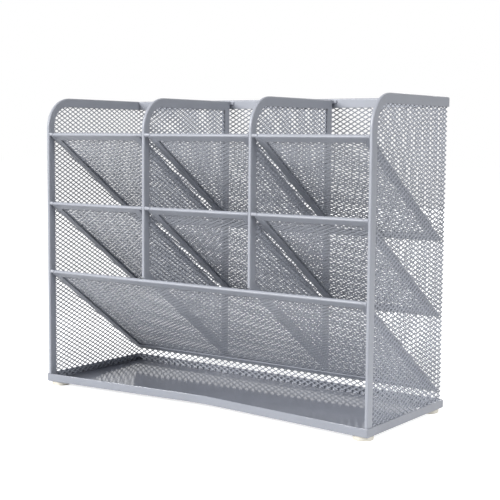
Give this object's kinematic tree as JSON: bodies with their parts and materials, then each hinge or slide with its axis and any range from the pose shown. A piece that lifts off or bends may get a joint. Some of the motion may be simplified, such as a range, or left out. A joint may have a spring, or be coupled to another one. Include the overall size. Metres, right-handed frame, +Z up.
{
  "type": "desk organizer",
  "caption": "Free-standing desk organizer of painted expanded metal, with slanted open pockets for pens between dividers, over a full-width open bay on a sheet tray.",
  "frame": {"origin": "centre of the footprint, on the surface that the feet stand on", "axes": "+X along the width towards the right bay, +Y from the open front to the back, +Z up"},
  "size_m": [0.2616, 0.0986, 0.2026],
  "materials": {
    "strip_paint": "satin silver-grey powder coat on folded steel strip",
    "mesh_paint": "satin silver-grey powder coat on expanded steel mesh",
    "tray_paint": "glossy silver-grey powder coat on steel sheet",
    "foot_pad": "matt off-white pad"
  },
  "bodies": {
    "root": {"base_tray": "tray_paint", "foot_front_left": "foot_pad", "foot_front_right": "foot_pad", "foot_rear_left": "foot_pad", "foot_rear_right": "foot_pad", "left_side_mesh": "mesh_paint", "left_side_rim": "strip_paint", "right_side_mesh": "mesh_paint", "right_side_rim": "strip_paint", "back_mesh": "mesh_paint", "back_rim": "strip_paint", "left_divider_mesh": "mesh_paint", "left_divider_rim": "strip_paint", "right_divider_mesh": "mesh_paint", "right_divider_rim": "strip_paint", "top_left_shelf_mesh": "mesh_paint", "top_left_shelf_rim": "strip_paint", "top_middle_shelf_mesh": "mesh_paint", "top_middle_shelf_rim": "strip_paint", "top_right_shelf_mesh": "mesh_paint", "top_right_shelf_rim": "strip_paint", "middle_left_shelf_mesh": "mesh_paint", "middle_left_shelf_rim": "strip_paint", "middle_middle_shelf_mesh": "mesh_paint", "middle_middle_shelf_rim": "strip_paint", "middle_right_shelf_mesh": "mesh_paint", "middle_right_shelf_rim": "strip_paint", "bottom_shelf_mesh": "mesh_paint", "bottom_shelf_rim": "strip_paint"}
  },
  "joints": []
}
